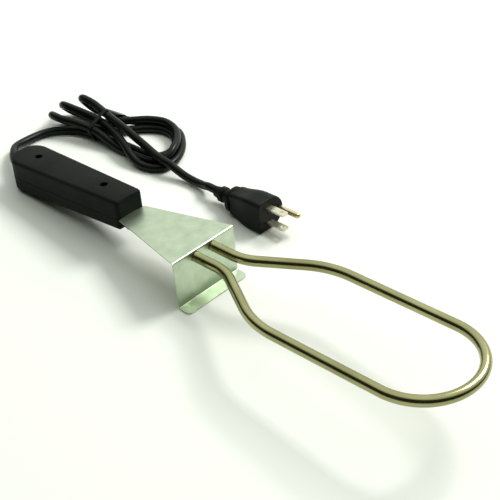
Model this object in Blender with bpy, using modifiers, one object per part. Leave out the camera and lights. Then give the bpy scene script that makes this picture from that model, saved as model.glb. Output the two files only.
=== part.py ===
"""Electric hot-loop tool: a tubular heating loop on a bent sheet shield with a moulded handle.

The tool rests on the shield's foot and on the heel of its handle. X runs towards the loop's tip,
Y to the left and Z up; the origin is on the resting surface, under the middle of the tool. The
mains lead leaves the handle's rear end, lies in a tied hank and ends in a three-pin plug.
All sizes are in metres.
"""
import math

import bmesh
import bpy
from mathutils import Matrix, Vector

# ---------------------------------------------------------------- driving dimensions
GAP = 0.0003                     # clearance kept between pieces that touch

# shield, one bent sheet
SHEET = 0.0009
BEND_INNER = 0.0005
PLATE_LENGTH = 0.0738            # junction with the handle to the front fold
PLATE_REAR_WIDTH = 0.0246
PLATE_FRONT_WIDTH = 0.0594
FRONT_HEIGHT = 0.0366            # front fold to the foot's fold
FOOT_LENGTH = 0.0100
FOOT_CORNER = 0.0038
TONGUE_LENGTH = 0.0335
TONGUE_WIDTH = 0.0120

# handle, two moulded halves
HANDLE_LENGTH = 0.1260
HANDLE_FRONT_WIDTH = 0.0252
HANDLE_REAR_WIDTH = 0.0330
HANDLE_ABOVE = 0.0139            # plate's top face to the handle's top edge
HANDLE_CROWN = 0.0013
HANDLE_UNDER_ELEMENT = 0.0039    # element's centreline to the underside at the front face
HANDLE_DEEPENING = 0.0024        # how much deeper the underside is at the rear end
HANDLE_WALL = 0.0023
FRONT_CORNER = 0.0026
REAR_CORNER = 0.0135
RIM_ROUND = 0.0024
FRONT_SCREW = 0.0266             # behind the handle's front face
REAR_SCREW_BACK = 0.0235         # in front of the handle's rear end

# fasteners
SCREW_SHANK = 0.0030             # shank diameter
SCREW_HEAD = 0.0054
SCREW_HEAD_HEIGHT = 0.0020
HEAD_DEPTH = 0.0085              # top edge of the handle to the top of the sunk head
RECESS = 0.0062                  # diameter of the sunk hole in the top half
BOSS = 0.0080
NUT_FLATS = 0.0055
NUT_HEIGHT = 0.0024
NUT_DEPTH = 0.0012               # nut's lower face above the handle's underside
EARTH_SCREW = 0.0088             # behind the handle's front face
EARTH_SCREW_LENGTH = 0.0068      # below its head

# heating element
SHEATH = 0.0077                  # outside diameter
SHEATH_WALL = 0.0007
ELEMENT_CLEARANCE = 0.00075      # plate's lower face to the sheath at the front plate
LEG_HALF_SPACING = 0.0084
END_HALF_SPACING = 0.0063        # at the cold ends, just in front of the handle
LEG_LENGTH = 0.0287              # front plate to the first bend's corner
FLARE_END = 0.0803               # front plate to the second bend's corner
LOOP_RADIUS = 0.0394             # centreline of the round end
LOOP_CENTRE = 0.1816             # front plate to the round end's centre
FIRST_BEND = 0.0360
SECOND_BEND = 0.0632
LOOP_DROOP = math.radians(2.52)  # the loop leans down from the plate
COLD_END = 0.0045                # sheath's end, in front of the handle

# cold ends, joints and wires
SEAL_NECK = 0.0050
SEAL_PLUG = 0.0045               # length inside the sheath
SEAL_REACH = 0.0080              # length of the neck
PIN = 0.0022
PIN_END = 0.0180                 # behind the handle's front face
CRIMP = 0.0036
CRIMP_LENGTH = 0.0110
WIRE = 0.0022
RING_OUTER = 0.0064
RING_THICKNESS = 0.0008
CLAMP_WIDTH = 0.0100
CLAMP_EAR = 0.0055
CLAMP_PLACE = 0.0500             # in front of the handle

# cord, bushing and plug
CORD = 0.0066
BUSHING_NECK = 0.0092
BUSHING_FLANGE = 0.0125
BUSHING_FLANGE_LENGTH = 0.0024
BUSHING_INSIDE = 0.0060          # bushing inside the rear wall, flange and sleeve
JACKET_INSIDE = 0.0135           # length of jacket inside the handle's rear end
BOOT_LENGTH = 0.0230             # tapered sleeve on the cord behind the handle
BOOT_END = 0.0076
HANK_HEIGHT = 0.0165
TIE_WIDTH = 0.0036
TIE_THICKNESS = 0.0009
TIE_PLACE = -0.2110              # where the tie holds the hank
PLUG_FACE = (-0.0243, 0.0814)    # plug's front face on the surface, on the blades' line
PLUG_LENGTH = 0.0325
PLUG_BLOCK = 0.0118              # full-height front part
PLUG_HALF_HEIGHT = 0.0130
PLUG_WAIST_HALF_HEIGHT = 0.0097
PLUG_FLAT_SIDE = 0.0110          # blades' line to the flat side
PLUG_WAIST_FLAT_SIDE = 0.0085
PLUG_ROUND_OFFSET = 0.0030       # blades' line to the centre of the round side
PLUG_EDGE = 0.0030               # round on the flat side's two corners
RELIEF_FLANGE = 0.0205
RELIEF_FLANGE_LENGTH = 0.0038
RELIEF_LENGTH = 0.0215
RELIEF_RING = 0.0126
BLADE_SPACING = 0.0127
BLADE_WIDTH = 0.00635
BLADE_THICKNESS = 0.0015
BLADE_LENGTH = 0.0172
BLADE_ROOT = 0.0090              # length inside the plug
BLADE_HOLE = 0.0030
BLADE_HOLE_PLACE = 0.0128        # from the plug's face to the blade hole's centre
GROUND_OFFSET = 0.0119
GROUND_PIN = 0.0048
GROUND_LENGTH = 0.0205

# ---------------------------------------------------------------- derived places
PARTING = -SHEET / 2
SHEATH_R = SHEATH / 2
ELEMENT_DROP = SHEET + ELEMENT_CLEARANCE + SHEATH_R   # plate's top face to the element's centreline
END_HEIGHT = -ELEMENT_DROP
HANDLE_BELOW_FRONT = ELEMENT_DROP + HANDLE_UNDER_ELEMENT
HANDLE_BELOW_REAR = HANDLE_BELOW_FRONT + HANDLE_DEEPENING
REAR_SCREW = HANDLE_LENGTH - REAR_SCREW_BACK
JACKET_END = HANDLE_LENGTH - JACKET_INSIDE
LOWER_SKIN = HANDLE_BELOW_REAR - (HANDLE_BELOW_REAR - HANDLE_BELOW_FRONT) * RIM_ROUND / HANDLE_LENGTH


def resting_pitch():
    """Angle at which the foot lies flat while the heel of the handle touches the surface."""
    reach = PLATE_LENGTH + HANDLE_LENGTH - RIM_ROUND
    drop = LOWER_SKIN - FRONT_HEIGHT
    return math.asin(SHEET / math.hypot(reach, drop)) - math.atan2(drop, reach)


PITCH = resting_pitch()
UP = Vector((math.sin(PITCH), 0, math.cos(PITCH)))
SURFACE = PLATE_LENGTH * UP.x - FRONT_HEIGHT * UP.z - SHEET
REAR_END = -(HANDLE_LENGTH - RIM_ROUND) * UP.z - (HANDLE_ABOVE - RIM_ROUND) * UP.x - RIM_ROUND
TIP_REACH = LOOP_CENTRE + LOOP_RADIUS
TIP_DEPTH = ELEMENT_DROP + math.tan(LOOP_DROOP) * TIP_REACH
FRONT_END = (PLATE_LENGTH + TIP_REACH) * UP.z + TIP_DEPTH * UP.x + SHEATH_R
MIDDLE = (REAR_END + FRONT_END) / 2


def half_width(x):
    """Half of the handle's width at x, which is zero at its front face and negative behind it."""
    share = -x / HANDLE_LENGTH
    return (HANDLE_FRONT_WIDTH + (HANDLE_REAR_WIDTH - HANDLE_FRONT_WIDTH) * share) / 2


def handle_below(x):
    """Depth of the handle's underside below the plate's top face at x."""
    return HANDLE_BELOW_FRONT + (HANDLE_BELOW_REAR - HANDLE_BELOW_FRONT) * -x / HANDLE_LENGTH


# ---------------------------------------------------------------- scene helpers
for old in list(bpy.data.objects):
    bpy.data.objects.remove(old, do_unlink=True)

parts = bpy.data.collections.new("electric_hot_loop_tool")
cutters = bpy.data.collections.new("cutters")
for group in (parts, cutters):
    bpy.context.scene.collection.children.link(group)


def make_material(name, colour, roughness, metallic):
    made = bpy.data.materials.new(name)
    made.use_nodes = True
    shader = made.node_tree.nodes["Principled BSDF"]
    shader.inputs["Base Color"].default_value = (*colour, 1.0)
    shader.inputs["Roughness"].default_value = roughness
    shader.inputs["Metallic"].default_value = metallic
    made.diffuse_color = (*colour, 1.0)
    return made


HANDLE_PLASTIC = make_material("handle_plastic", (0.018, 0.020, 0.018), 0.45, 0.0)
GALVANISED = make_material("galvanised_sheet", (0.62, 0.66, 0.60), 0.40, 1.0)
NICKEL_STEEL = make_material("nickel_steel", (0.46, 0.43, 0.30), 0.28, 1.0)
OXIDE = make_material("packed_oxide", (0.75, 0.74, 0.70), 0.90, 0.0)
ZINC_STEEL = make_material("zinc_steel", (0.55, 0.56, 0.57), 0.35, 1.0)
SILICONE = make_material("silicone_seal", (0.30, 0.09, 0.05), 0.60, 0.0)
TINNED_BRASS = make_material("tinned_brass", (0.72, 0.68, 0.52), 0.30, 1.0)
CORD_JACKET = make_material("cord_jacket", (0.015, 0.016, 0.015), 0.50, 0.0)
BLACK_WIRE = make_material("black_wire", (0.02, 0.02, 0.02), 0.50, 0.0)
WHITE_WIRE = make_material("white_wire", (0.80, 0.80, 0.78), 0.50, 0.0)
GREEN_WIRE = make_material("green_wire", (0.03, 0.30, 0.08), 0.50, 0.0)
PLUG_PLASTIC = make_material("plug_plastic", (0.020, 0.022, 0.020), 0.42, 0.0)


def empty(name, location, rotation, parent=None):
    holder = bpy.data.objects.new(name, None)
    parts.objects.link(holder)
    holder.location = location
    holder.rotation_euler = rotation
    holder.parent = parent
    return holder


def add_mesh(name, bm, material, parent, smooth_angle=35):
    """Turns a bmesh into a named, shaded object under its parent."""
    mesh = bpy.data.meshes.new(name)
    bmesh.ops.recalc_face_normals(bm, faces=bm.faces)
    if bm.calc_volume(signed=True) < 0:
        bmesh.ops.reverse_faces(bm, faces=bm.faces)
    bm.to_mesh(mesh)
    bm.free()
    mesh.shade_smooth()
    mesh.set_sharp_from_angle(angle=math.radians(smooth_angle))
    made = bpy.data.objects.new(name, mesh)
    made.parent = parent
    if material is None:
        cutters.objects.link(made)
        made.hide_render = True
        made.display_type = "WIRE"
    else:
        mesh.materials.append(material)
        parts.objects.link(made)
    return made


def bevel(bm, edges, width, segments):
    bmesh.ops.bevel(bm, geom=edges, offset=width, segments=segments, profile=0.5,
                    affect="EDGES", clamp_overlap=False)


def put_box(bm, low, high):
    """Adds a box between two corners and returns its vertices."""
    low, high = Vector(low), Vector(high)
    size = high - low
    place = Matrix.Translation((low + high) / 2) @ Matrix.Diagonal((*size, 1))
    return bmesh.ops.create_cube(bm, size=1, matrix=place)["verts"]


def put_round(bm, start, end, radius, segments=24, end_radius=None):
    """Adds a closed cylinder or cone from start to end."""
    start, end = Vector(start), Vector(end)
    along = end - start
    turn = along.to_track_quat("Z", "Y").to_matrix().to_4x4()
    place = Matrix.Translation((start + end) / 2) @ turn
    tip = radius if end_radius is None else end_radius
    return bmesh.ops.create_cone(bm, cap_ends=True, segments=segments, radius1=radius,
                                 radius2=tip, depth=along.length, matrix=place)["verts"]


def boolean(target, other, operation):
    step = target.modifiers.new(f"{operation.lower()}_{other.name}", "BOOLEAN")
    step.operation = operation
    step.solver = "EXACT"
    step.object = other


def boxes_cutter(name, boxes, parent):
    bm = bmesh.new()
    for low, high in boxes:
        put_box(bm, low, high)
    return add_mesh(name, bm, None, parent)


def rounds_cutter(name, rounds, parent, segments=24):
    """One cutter of separate cylinders, each a start, an end and a radius."""
    bm = bmesh.new()
    for start, end, radius in rounds:
        put_round(bm, start, end, radius, segments)
    return add_mesh(name, bm, None, parent)


def turned(name, profile, material, parent, location, direction, segments=32):
    """A piece turned about its own X, from radius and length pairs down its outer side."""
    mesh = bpy.data.meshes.new(name)
    points = [(radius, 0.0, -along) for along, radius in profile]
    edges = [(i, i + 1) for i in range(len(points) - 1)]
    closed = profile[0][1] > 0
    if closed:
        edges.append((len(points) - 1, 0))
    mesh.from_pydata(points, edges, [])
    mesh.materials.append(material)
    made = bpy.data.objects.new(name, mesh)
    parts.objects.link(made)
    made.parent = parent
    made.location = location
    made.rotation_euler = (-Vector(direction)).to_track_quat("Z", "Y").to_euler()
    screw = made.modifiers.new("turn", "SCREW")
    screw.axis = "Z"
    screw.steps = segments
    screw.render_steps = segments
    screw.use_merge_vertices = True
    screw.merge_threshold = 0.00001
    screw.use_normal_calculate = False
    return made


def tube(name, points, diameter, material, parent, resolution=2, radii=None, caps=True):
    """A round bar or cable along its points, as a curve with filled ends."""
    data = bpy.data.curves.new(name, "CURVE")
    data.dimensions = "3D"
    data.bevel_depth = diameter / 2
    data.bevel_resolution = resolution
    data.use_fill_caps = caps
    data.twist_mode = "MINIMUM"
    line = data.splines.new("POLY")
    line.points.add(len(points) - 1)
    for index, place in enumerate(points):
        line.points[index].co = (*place, 1.0)
        if radii:
            line.points[index].radius = radii[index]
    data.materials.append(material)
    made = bpy.data.objects.new(name, data)
    parts.objects.link(made)
    made.parent = parent
    return made


def curve_to_mesh(made):
    """Swaps a curve object for a mesh object of the same name, with welded ends."""
    bpy.context.view_layer.update()
    ready = made.evaluated_get(bpy.context.evaluated_depsgraph_get())
    mesh = bpy.data.meshes.new_from_object(ready)
    bm = bmesh.new()
    bm.from_mesh(mesh)
    bmesh.ops.remove_doubles(bm, verts=bm.verts, dist=0.000001)
    bmesh.ops.recalc_face_normals(bm, faces=bm.faces)
    bm.to_mesh(mesh)
    bm.free()
    name, parent, place = made.name, made.parent, made.matrix_world.copy()
    bpy.data.objects.remove(made, do_unlink=True)
    swapped = bpy.data.objects.new(name, mesh)
    parts.objects.link(swapped)
    swapped.parent = parent
    swapped.matrix_world = place
    mesh.shade_smooth()
    mesh.set_sharp_from_angle(angle=math.radians(40))
    return swapped


def fillet(before, corner, after, radius, steps):
    """Points of the arc that rounds a corner of a flat path, ends included."""
    before, corner, after = Vector(before), Vector(corner), Vector(after)
    back = (before - corner).normalized()
    ahead = (after - corner).normalized()
    half = back.angle(ahead) / 2
    reach = radius / math.tan(half)
    centre = corner + (back + ahead).normalized() * (radius / math.sin(half))
    first = corner + back * reach - centre
    last = corner + ahead * reach - centre
    turn = first.angle_signed(last)
    return [centre + Matrix.Rotation(-turn * i / steps, 2) @ first for i in range(steps + 1)]


def smooth_route(points, spacing):
    """Evenly spaced points on the smooth curve through the route's own points."""
    knots = [Vector(p) for p in points]
    padded = [2 * knots[0] - knots[1]] + knots + [2 * knots[-1] - knots[-2]]
    fine = []
    for a, b, c, d in zip(padded, padded[1:], padded[2:], padded[3:]):
        for step in range(12):
            t = step / 12
            fine.append(0.5 * (2 * b + (c - a) * t + (2 * a - 5 * b + 4 * c - d) * t * t
                               + (3 * b - a - 3 * c + d) * t ** 3))
    fine.append(knots[-1])
    total = sum((q - p).length for p, q in zip(fine, fine[1:]))
    count = max(2, round(total / spacing))
    route, walked, target = [fine[0]], 0.0, total / count
    for p, q in zip(fine, fine[1:]):
        length = (q - p).length
        while walked + length >= target - 1e-9 and len(route) < count:
            route.append(p.lerp(q, (target - walked) / length))
            target += total / count
        walked += length
    route.append(fine[-1])
    return route


# ---------------------------------------------------------------- holders
tool = empty("tool", (-MIDDLE, 0, -SURFACE), (0, -PITCH, 0))


# ---------------------------------------------------------------- shield
def shield_stations():
    """The sheet's outer face from the tongue's end to the foot's tip, as x, z and half-width."""
    outer = SHEET + BEND_INNER
    rear, front = PLATE_REAR_WIDTH / 2, PLATE_FRONT_WIDTH / 2
    fold_start = PLATE_LENGTH - outer
    taper = (front - rear) / fold_start
    stations = [(-TONGUE_LENGTH, 0.0, rear), (-TONGUE_LENGTH / 2, 0.0, rear), (0.0, 0.0, rear)]
    stations += [(fold_start * i / 4, 0.0, rear + taper * fold_start * i / 4) for i in (1, 2, 3)]
    top = fillet((0, 0), (PLATE_LENGTH, 0), (PLATE_LENGTH, -FRONT_HEIGHT), outer, 4)
    stations += [(p.x, p.y, front) for p in top]
    corner = Vector((PLATE_LENGTH, -FRONT_HEIGHT))
    ahead = Vector((math.cos(PITCH), -math.sin(PITCH)))
    stations += [(PLATE_LENGTH, -FRONT_HEIGHT * i / 3, front) for i in (1, 2)]
    fold = fillet((PLATE_LENGTH, 0), corner, corner + ahead * FOOT_LENGTH, BEND_INNER, 3)
    stations += [(p.x, p.y, front) for p in fold]
    for step in range(6):
        angle = math.pi / 2 * step / 5
        reach = FOOT_LENGTH - FOOT_CORNER * (1 - math.sin(angle))
        place = corner + ahead * reach
        stations.append((place.x, place.y, front - FOOT_CORNER * (1 - math.cos(angle))))
    return stations


def make_shield():
    stations = shield_stations()
    across = 6
    bm = bmesh.new()
    bmesh.ops.create_grid(bm, x_segments=len(stations) - 1, y_segments=across, size=1)
    for vert in bm.verts:
        index = round((vert.co.x + 1) / 2 * (len(stations) - 1))
        x, z, half = stations[index]
        vert.co = (x, vert.co.y * half, z)
    mesh = bpy.data.meshes.new("heat_shield")
    bm.to_mesh(mesh)
    bm.free()
    mesh.materials.append(GALVANISED)
    made = bpy.data.objects.new("heat_shield", mesh)
    parts.objects.link(made)
    made.parent = tool
    skin = made.modifiers.new("thickness", "SOLIDIFY")
    skin.thickness = SHEET
    skin.offset = -1
    skin.use_even_offset = True
    side = PLATE_REAR_WIDTH
    shoulder = [((-TONGUE_LENGTH - GAP, s * TONGUE_WIDTH / 2, -0.005),
                 (GAP, s * side, 0.005)) for s in (-1, 1)]
    shoulder = [(tuple(map(min, zip(a, b))), tuple(map(max, zip(a, b)))) for a, b in shoulder]
    boolean(made, boxes_cutter("cut_tongue_sides", shoulder, tool), "DIFFERENCE")
    hole = SHEATH_R + GAP
    legs = [((PLATE_LENGTH - 0.004, s * LEG_HALF_SPACING, -ELEMENT_DROP),
             (PLATE_LENGTH + 0.004, s * LEG_HALF_SPACING, -ELEMENT_DROP), hole) for s in (-1, 1)]
    boolean(made, rounds_cutter("cut_leg_holes", legs, tool, 32), "DIFFERENCE")
    screws = [((-x, 0, -0.004), (-x, 0, 0.004), SCREW_SHANK / 2 + GAP)
              for x in (FRONT_SCREW, EARTH_SCREW)]
    boolean(made, rounds_cutter("cut_tongue_holes", screws, tool), "DIFFERENCE")
    return made


make_shield()


# ---------------------------------------------------------------- handle
def case_solid(name, inset, side, material):
    """Half of the handle, solid, from the parting line up (side 1) or down (side -1)."""
    front, rear = -inset, -(HANDLE_LENGTH - inset)
    start = (GAP / 2 if inset == 0 else -0.002) + side * PARTING

    def height(x):
        outer = HANDLE_ABOVE if side > 0 else handle_below(x)
        return outer - inset

    bm = bmesh.new()
    for vert in bmesh.ops.create_cube(bm, size=2)["verts"]:
        x = front if vert.co.x > 0 else rear
        z = height(x) if vert.co.z > 0 else start
        vert.co = (x, vert.co.y * (half_width(x) - inset), z)
    corners = {front: max(FRONT_CORNER - inset, 0.0006), rear: REAR_CORNER - inset}
    for x, radius in corners.items():
        upright = [e for e in bm.edges if all(abs(v.co.x - x) < 1e-7 for v in e.verts)
                   and abs(e.verts[0].co.y - e.verts[1].co.y) < 1e-7]
        bevel(bm, upright, radius, 3 if x == front else 7)
    rim = [e for e in bm.edges if all(v.co.z > start + 0.004 for v in e.verts)]
    bevel(bm, rim, max(RIM_ROUND - inset, 0.0005), 3 if inset == 0 else 1)
    if side > 0:
        for step in range(-3, 4):
            cut = step / 4 * HANDLE_FRONT_WIDTH / 2
            bmesh.ops.bisect_plane(bm, geom=bm.verts[:] + bm.edges[:] + bm.faces[:],
                                   plane_co=(0, cut, 0), plane_no=(0, 1, 0))
        for vert in bm.verts:
            if vert.co.z > start + 0.004:
                share = vert.co.y / half_width(vert.co.x)
                vert.co.z += HANDLE_CROWN * max(0.0, 1 - share * share)
    for vert in bm.verts:
        vert.co.z *= side
    return add_mesh(name, bm, material, tool)


def boss_span(x):
    """Top and bottom of a screw boss, kept off the tongue where the tongue passes it."""
    clear = GAP if x < TONGUE_LENGTH else GAP / 2 + PARTING
    below = SHEET + GAP if x < TONGUE_LENGTH else GAP / 2 - PARTING
    return clear, -below


def make_handle():
    top = case_solid("handle_top_shell", 0.0, 1, HANDLE_PLASTIC)
    bottom = case_solid("handle_bottom_shell", 0.0, -1, HANDLE_PLASTIC)
    boolean(top, case_solid("cut_top_cavity", HANDLE_WALL, 1, None), "DIFFERENCE")
    boolean(bottom, case_solid("cut_bottom_cavity", HANDLE_WALL, -1, None), "DIFFERENCE")
    into = HANDLE_WALL / 2
    upper, lower, head_holes, shank_holes, pockets = [], [], [], [], []
    for x in (FRONT_SCREW, REAR_SCREW):
        upper_start, lower_start = boss_span(x)
        under = -handle_below(-x)
        seat = HANDLE_ABOVE - HEAD_DEPTH - SCREW_HEAD_HEIGHT - GAP
        upper.append(((-x, 0, upper_start), (-x, 0, HANDLE_ABOVE + HANDLE_CROWN - into), BOSS / 2))
        lower.append(((-x, 0, under + into), (-x, 0, lower_start), BOSS / 2))
        head_holes.append(((-x, 0, seat), (-x, 0, HANDLE_ABOVE + 0.01), RECESS / 2))
        shank_holes.append(((-x, 0, under - 0.01), (-x, 0, seat + 0.001), SCREW_SHANK / 2 + GAP))
        pockets.append(((-x, 0, under - 0.01), (-x, 0, under + NUT_DEPTH + NUT_HEIGHT + GAP),
                        (NUT_FLATS / 2 + GAP) / math.cos(math.pi / 6)))
    boolean(top, rounds_cutter("join_upper_bosses", upper, tool), "UNION")
    boolean(bottom, rounds_cutter("join_lower_bosses", lower, tool), "UNION")
    boolean(top, rounds_cutter("cut_head_holes", head_holes, tool), "DIFFERENCE")
    shanks = rounds_cutter("cut_shank_holes", shank_holes, tool)
    boolean(top, shanks, "DIFFERENCE")
    boolean(bottom, shanks, "DIFFERENCE")
    boolean(bottom, rounds_cutter("cut_nut_pockets", pockets, tool, 6), "DIFFERENCE")
    room = TONGUE_WIDTH / 2 + GAP
    slot = boxes_cutter("cut_tongue_slot", [((-TONGUE_LENGTH - GAP, -room, -SHEET - GAP),
                                             (0.002, room, GAP))], tool)
    boolean(top, slot, "DIFFERENCE")
    boolean(bottom, slot, "DIFFERENCE")
    wall = -HANDLE_LENGTH + HANDLE_WALL
    bore = BUSHING_NECK / 2 + GAP
    seat = BUSHING_FLANGE / 2 + GAP
    exit_bore = rounds_cutter("cut_cord_exit", [((wall - 0.01, 0, PARTING), (wall + 0.006, 0, PARTING),
                                                 bore)], tool, 28)
    flange_seat = rounds_cutter("cut_flange_seat", [((wall, 0, PARTING), (wall + 0.006, 0, PARTING),
                                                     seat)], tool, 28)
    for half in (top, bottom):
        boolean(half, exit_bore, "DIFFERENCE")
        boolean(half, flange_seat, "DIFFERENCE")
    seals = [((-0.01, s * END_HALF_SPACING, END_HEIGHT), (0.01, s * END_HALF_SPACING, END_HEIGHT),
              SEAL_NECK / 2 + GAP) for s in (-1, 1)]
    boolean(bottom, rounds_cutter("cut_seal_holes", seals, tool), "DIFFERENCE")


make_handle()


# ---------------------------------------------------------------- handle fasteners
def hexagon(name, centre, flats, height, bore, material, parent):
    """A hexagon nut with a plain bore."""
    bm = bmesh.new()
    low = Vector(centre)
    put_round(bm, low, low + Vector((0, 0, height)), flats / 2 / math.cos(math.pi / 6), 6)
    made = add_mesh(name, bm, material, parent)
    lift = Vector((0, 0, 0.002))
    hole = rounds_cutter(f"cut_{name}", [(low - lift, low + lift + Vector((0, 0, height)), bore)], parent)
    boolean(made, hole, "DIFFERENCE")
    return made


def screw_body(name, top, length, parent, material=ZINC_STEEL, shank_radius=SCREW_SHANK / 2):
    """A pan-head screw with a cross recess, its head's top at the given place."""
    head, edge = SCREW_HEAD / 2, 0.0006
    profile = [(0.0, 0.0), (0.0, head - edge), (edge / 2, head - edge / 3), (edge, head),
               (SCREW_HEAD_HEIGHT, head), (SCREW_HEAD_HEIGHT, shank_radius),
               (SCREW_HEAD_HEIGHT + length - 0.0005, shank_radius),
               (SCREW_HEAD_HEIGHT + length, shank_radius - 0.0005), (SCREW_HEAD_HEIGHT + length, 0.0)]
    made = turned(name, profile, material, parent, top, (0, 0, -1), 24)
    x, y, z = top
    arm, slot, deep = 0.0016, 0.00035, 0.0010
    cross = boxes_cutter(f"cut_{name}_cross", [((x - arm, y - slot, z - deep), (x + arm, y + slot, z + 0.001))],
                         parent)
    bar = boxes_cutter(f"cut_{name}_bar", [((x - slot, y - arm, z - deep), (x + slot, y + arm, z + 0.001))],
                       parent)
    boolean(made, cross, "DIFFERENCE")
    boolean(made, bar, "DIFFERENCE")
    return made


for label, place in (("front", FRONT_SCREW), ("rear", REAR_SCREW)):
    underside = -handle_below(-place)
    head_top = HANDLE_ABOVE - HEAD_DEPTH
    shank = head_top - SCREW_HEAD_HEIGHT - (underside + NUT_DEPTH)
    screw_body(f"handle_screw_{label}", (-place, 0, head_top), shank, tool)
    hexagon(f"handle_nut_{label}", (-place, 0, underside + NUT_DEPTH), NUT_FLATS, NUT_HEIGHT,
            SCREW_SHANK / 2 + GAP, ZINC_STEEL, tool)


# ---------------------------------------------------------------- heating element
def element_half():
    """Left half of the loop's centreline, seen from above, from its cold end to the tip."""
    plate = PLATE_LENGTH
    first, second = (plate + LEG_LENGTH, LEG_HALF_SPACING), (plate + FLARE_END, LOOP_RADIUS)
    centre = plate + LOOP_CENTRE
    half = [(COLD_END, END_HALF_SPACING), (0.018, END_HALF_SPACING)]
    for step in range(1, 6):
        share = step / 6
        ease = share * share * (3 - 2 * share)
        half.append((0.018 + (0.046 - 0.018) * share,
                     END_HALF_SPACING + (LEG_HALF_SPACING - END_HALF_SPACING) * ease))
    half += [(0.046, LEG_HALF_SPACING), (plate - 0.006, LEG_HALF_SPACING), (plate, LEG_HALF_SPACING),
             (plate + 0.006, LEG_HALF_SPACING)]
    half += [tuple(p) for p in fillet((plate, LEG_HALF_SPACING), first, second, FIRST_BEND, 8)]
    half += [tuple(p) for p in fillet(first, second, (centre, LOOP_RADIUS), SECOND_BEND, 8)]
    steps = 14
    for step in range(steps + 1):
        angle = math.pi / 2 * (1 - step / steps)
        half.append((centre + LOOP_RADIUS * math.cos(angle), LOOP_RADIUS * math.sin(angle)))
    return half


def element_path():
    """The whole centreline in the tool's frame: level behind the front plate, drooping past it."""
    half = element_half()
    flat = half + [(x, -y) for x, y in reversed(half[:-1])]
    drop = math.tan(LOOP_DROOP)
    return [Vector((x, y, END_HEIGHT - drop * max(0.0, x - PLATE_LENGTH))) for x, y in flat]


def shorten(path, length):
    """The same path with a stated length taken off both ends, which are straight."""
    start = path[0] + (path[1] - path[0]).normalized() * length
    end = path[-1] + (path[-2] - path[-1]).normalized() * length
    return [start] + path[1:-1] + [end]


ELEMENT = element_path()
sheath = curve_to_mesh(tube("heating_element", ELEMENT, SHEATH, NICKEL_STEEL, tool, 4, caps=False))
wall = sheath.modifiers.new("wall", "SOLIDIFY")
wall.thickness = SHEATH_WALL
wall.offset = -1
wall.use_even_offset = True
core_diameter = SHEATH - 2 * (SHEATH_WALL + GAP)
tube("element_core", shorten(ELEMENT, SEAL_PLUG + GAP), core_diameter, OXIDE, tool, 3)


# ---------------------------------------------------------------- element clamp under the plate
def make_clamp():
    """A strap under both legs, with an ear on each side against the plate."""
    roof = -SHEET - GAP
    inner_side = LEG_HALF_SPACING + SHEATH_R + 2 * GAP
    floor = -ELEMENT_DROP - SHEATH_R - GAP
    run = [(-inner_side - CLAMP_EAR, roof - SHEET), (-inner_side, roof - SHEET), (-inner_side, floor),
           (inner_side, floor), (inner_side, roof - SHEET), (inner_side + CLAMP_EAR, roof - SHEET)]
    section = [run[0]]
    for before, corner, after in zip(run, run[1:], run[2:]):
        outward = corner[1] < roof - 2 * SHEET
        radius = BEND_INNER if outward else BEND_INNER + SHEET
        section += [tuple(p) for p in fillet(before, corner, after, radius, 3)]
    section.append(run[-1])
    bm = bmesh.new()
    bmesh.ops.create_grid(bm, x_segments=len(section) - 1, y_segments=1, size=1)
    for vert in bm.verts:
        y, z = section[round((vert.co.x + 1) / 2 * (len(section) - 1))]
        vert.co = (CLAMP_PLACE + vert.co.y * CLAMP_WIDTH / 2, y, z)
    mesh = bpy.data.meshes.new("element_clamp")
    bmesh.ops.recalc_face_normals(bm, faces=bm.faces)
    if sum(face.normal.z for face in bm.faces) > 0:
        bmesh.ops.reverse_faces(bm, faces=bm.faces)
    bm.to_mesh(mesh)
    bm.free()
    mesh.materials.append(GALVANISED)
    made = bpy.data.objects.new("element_clamp", mesh)
    parts.objects.link(made)
    made.parent = tool
    skin = made.modifiers.new("thickness", "SOLIDIFY")
    skin.thickness = SHEET
    skin.offset = 1
    skin.use_even_offset = True


make_clamp()


# ---------------------------------------------------------------- cold ends, joints and wires
def make_cold_end(side, label, wire_material):
    """Seal, terminal pin and crimped joint of one leg. side is 1 on the left leg."""
    y = side * END_HALF_SPACING
    bore = PIN / 2 + GAP
    plug_radius = SHEATH_R - SHEATH_WALL - GAP
    collar = SHEATH_R - 0.0004
    seal = [(-SEAL_PLUG, bore), (-SEAL_PLUG, plug_radius), (GAP, plug_radius), (GAP, collar),
            (0.0016, collar), (0.0020, SEAL_NECK / 2), (SEAL_REACH, SEAL_NECK / 2 - 0.0003),
            (SEAL_REACH, bore)]
    turned(f"end_seal_{label}", seal, SILICONE, tool, (COLD_END, y, END_HEIGHT), (-1, 0, 0), 24)
    pin_start = COLD_END + SEAL_PLUG
    reach = pin_start + PIN_END
    tip = PIN / 2 - 0.0003
    pin = [(0.0, 0.0), (0.0, PIN / 2), (reach - 0.0003, PIN / 2), (reach, tip), (reach, 0.0)]
    turned(f"terminal_pin_{label}", pin, TINNED_BRASS, tool, (pin_start, y, END_HEIGHT), (-1, 0, 0), 16)
    outer, rim = CRIMP / 2, CRIMP / 2 - 0.0003
    depth = CRIMP_LENGTH / 2 - GAP
    barrel = [(0.0, bore), (0.0, rim), (0.0003, outer), (0.0036, outer), (0.0042, outer - 0.0003),
              (0.0068, outer - 0.0003), (0.0074, outer), (CRIMP_LENGTH - 0.0003, outer),
              (CRIMP_LENGTH, rim), (CRIMP_LENGTH, bore)]
    joint = -PIN_END + depth
    turned(f"crimp_{label}", barrel, TINNED_BRASS, tool, (joint, y, END_HEIGHT), (-1, 0, 0), 20)
    start = joint - CRIMP_LENGTH / 2 - GAP
    return Vector((start, y, END_HEIGHT))


JACKET_FACE = Vector((-JACKET_END, 0, PARTING))
CORE_SPREAD = 0.00155            # conductors' distance from the cord's axis where they leave it


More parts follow.
